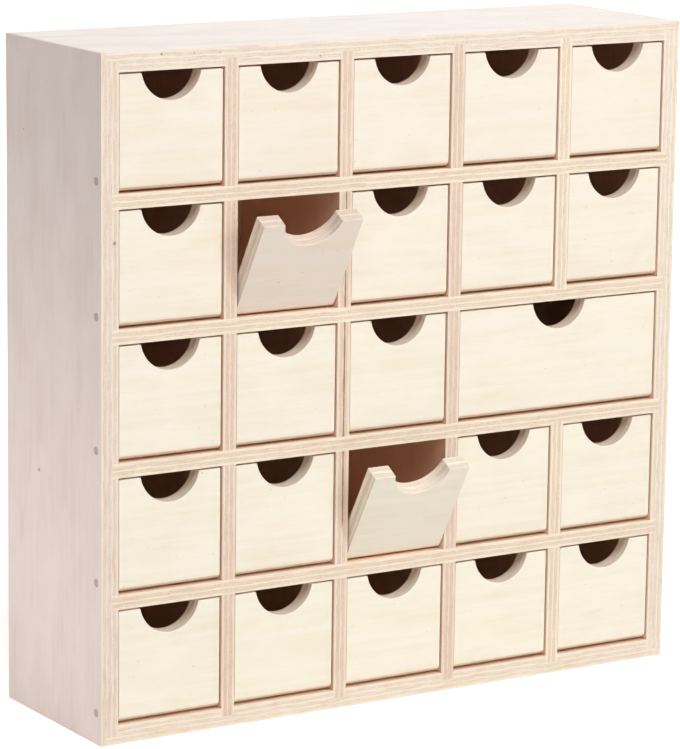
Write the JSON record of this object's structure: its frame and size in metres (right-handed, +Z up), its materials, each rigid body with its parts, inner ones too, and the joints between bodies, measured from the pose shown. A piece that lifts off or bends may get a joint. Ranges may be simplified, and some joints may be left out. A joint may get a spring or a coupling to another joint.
{
  "type": "wooden advent calendar",
  "caption": "Square plywood case with a grid of compartments, each closed by a small flap with a finger notch that tips out on a wooden rod; one compartment is double width.",
  "frame": {"origin": "centre of the base, on the surface that the case stands on", "axes": "+Z up, +X to the right seen from the front, +Y to the back, so the flaps face -Y"},
  "size_m": [0.32, 0.1156, 0.32],
  "materials": {
    "case_ply": "sanded bare plywood",
    "grid_ply": "sanded bare plywood",
    "flap_ply": "sanded bare plywood",
    "rod_dowel": "bare hardwood dowel",
    "brad_steel": "plain steel brads"
  },
  "bodies": {
    "case": {"left_side": "case_ply", "right_side": "case_ply", "top_panel": "case_ply", "bottom_panel": "case_ply", "back_panel": "case_ply", "back_brads": "brad_steel", "shelf_1": "grid_ply", "shelf_2": "grid_ply", "shelf_3": "grid_ply", "shelf_4": "grid_ply", "divider_1": "grid_ply", "divider_2": "grid_ply", "divider_3": "grid_ply", "upper_short_divider": "grid_ply", "lower_short_divider": "grid_ply", "hinge_rod_1": "rod_dowel", "hinge_rod_2": "rod_dowel", "hinge_rod_3": "rod_dowel", "hinge_rod_4": "rod_dowel", "hinge_rod_5": "rod_dowel"},
    "flap_01": {"flap_01": "flap_ply"},
    "flap_02": {"flap_02": "flap_ply"},
    "flap_03": {"flap_03": "flap_ply"},
    "flap_04": {"flap_04": "flap_ply"},
    "flap_05": {"flap_05": "flap_ply"},
    "flap_06": {"flap_06": "flap_ply"},
    "flap_07": {"flap_07": "flap_ply"},
    "flap_08": {"flap_08": "flap_ply"},
    "flap_09": {"flap_09": "flap_ply"},
    "flap_10": {"flap_10": "flap_ply"},
    "flap_11": {"flap_11": "flap_ply"},
    "flap_12": {"flap_12": "flap_ply"},
    "flap_13": {"flap_13": "flap_ply"},
    "flap_14": {"flap_14": "flap_ply"},
    "flap_15": {"flap_15": "flap_ply"},
    "flap_16": {"flap_16": "flap_ply"},
    "flap_17": {"flap_17": "flap_ply"},
    "flap_18": {"flap_18": "flap_ply"},
    "flap_19": {"flap_19": "flap_ply"},
    "flap_20": {"flap_20": "flap_ply"},
    "flap_21": {"flap_21": "flap_ply"},
    "flap_22": {"flap_22": "flap_ply"},
    "flap_23": {"flap_23": "flap_ply"},
    "flap_24": {"flap_24": "flap_ply"}
  },
  "joints": [
    {"name": "flap_01_hinge", "type": "hinge", "parent": "case", "child": "flap_01", "pos_m": [-0.1236, -0.0417, 0.2622], "axis": [1, 0, 0], "range_deg": [0, 108]},
    {"name": "flap_02_hinge", "type": "hinge", "parent": "case", "child": "flap_02", "pos_m": [-0.0618, -0.0417, 0.2622], "axis": [1, 0, 0], "range_deg": [0, 108]},
    {"name": "flap_03_hinge", "type": "hinge", "parent": "case", "child": "flap_03", "pos_m": [0, -0.0417, 0.2622], "axis": [1, 0, 0], "range_deg": [0, 108]},
    {"name": "flap_04_hinge", "type": "hinge", "parent": "case", "child": "flap_04", "pos_m": [0.0618, -0.0417, 0.2622], "axis": [1, 0, 0], "range_deg": [0, 108]},
    {"name": "flap_05_hinge", "type": "hinge", "parent": "case", "child": "flap_05", "pos_m": [0.1236, -0.0417, 0.2622], "axis": [1, 0, 0], "range_deg": [0, 108]},
    {"name": "flap_06_hinge", "type": "hinge", "parent": "case", "child": "flap_06", "pos_m": [-0.1236, -0.0417, 0.2004], "axis": [1, 0, 0], "range_deg": [0, 108]},
    {"name": "flap_07_hinge", "type": "hinge", "parent": "case", "child": "flap_07", "pos_m": [-0.0618, -0.0417, 0.2004], "axis": [1, 0, 0], "range_deg": [-30, 78]},
    {"name": "flap_08_hinge", "type": "hinge", "parent": "case", "child": "flap_08", "pos_m": [0, -0.0417, 0.2004], "axis": [1, 0, 0], "range_deg": [0, 108]},
    {"name": "flap_09_hinge", "type": "hinge", "parent": "case", "child": "flap_09", "pos_m": [0.0618, -0.0417, 0.2004], "axis": [1, 0, 0], "range_deg": [0, 108]},
    {"name": "flap_10_hinge", "type": "hinge", "parent": "case", "child": "flap_10", "pos_m": [0.1236, -0.0417, 0.2004], "axis": [1, 0, 0], "range_deg": [0, 108]},
    {"name": "flap_11_hinge", "type": "hinge", "parent": "case", "child": "flap_11", "pos_m": [-0.1236, -0.0417, 0.1386], "axis": [1, 0, 0], "range_deg": [0, 108]},
    {"name": "flap_12_hinge", "type": "hinge", "parent": "case", "child": "flap_12", "pos_m": [-0.0618, -0.0417, 0.1386], "axis": [1, 0, 0], "range_deg": [0, 108]},
    {"name": "flap_13_hinge", "type": "hinge", "parent": "case", "child": "flap_13", "pos_m": [0, -0.0417, 0.1386], "axis": [1, 0, 0], "range_deg": [0, 108]},
    {"name": "flap_14_hinge", "type": "hinge", "parent": "case", "child": "flap_14", "pos_m": [0.0927, -0.0417, 0.1386], "axis": [1, 0, 0], "range_deg": [0, 108]},
    {"name": "flap_15_hinge", "type": "hinge", "parent": "case", "child": "flap_15", "pos_m": [-0.1236, -0.0417, 0.0768], "axis": [1, 0, 0], "range_deg": [0, 108]},
    {"name": "flap_16_hinge", "type": "hinge", "parent": "case", "child": "flap_16", "pos_m": [-0.0618, -0.0417, 0.0768], "axis": [1, 0, 0], "range_deg": [0, 108]},
    {"name": "flap_17_hinge", "type": "hinge", "parent": "case", "child": "flap_17", "pos_m": [0, -0.0417, 0.0768], "axis": [1, 0, 0], "range_deg": [-30, 78]},
    {"name": "flap_18_hinge", "type": "hinge", "parent": "case", "child": "flap_18", "pos_m": [0.0618, -0.0417, 0.0768], "axis": [1, 0, 0], "range_deg": [0, 108]},
    {"name": "flap_19_hinge", "type": "hinge", "parent": "case", "child": "flap_19", "pos_m": [0.1236, -0.0417, 0.0768], "axis": [1, 0, 0], "range_deg": [0, 108]},
    {"name": "flap_20_hinge", "type": "hinge", "parent": "case", "child": "flap_20", "pos_m": [-0.1236, -0.0417, 0.015], "axis": [1, 0, 0], "range_deg": [0, 108]},
    {"name": "flap_21_hinge", "type": "hinge", "parent": "case", "child": "flap_21", "pos_m": [-0.0618, -0.0417, 0.015], "axis": [1, 0, 0], "range_deg": [0, 108]},
    {"name": "flap_22_hinge", "type": "hinge", "parent": "case", "child": "flap_22", "pos_m": [0, -0.0417, 0.015], "axis": [1, 0, 0], "range_deg": [0, 108]},
    {"name": "flap_23_hinge", "type": "hinge", "parent": "case", "child": "flap_23", "pos_m": [0.0618, -0.0417, 0.015], "axis": [1, 0, 0], "range_deg": [0, 108]},
    {"name": "flap_24_hinge", "type": "hinge", "parent": "case", "child": "flap_24", "pos_m": [0.1236, -0.0417, 0.015], "axis": [1, 0, 0], "range_deg": [0, 108]}
  ]
}
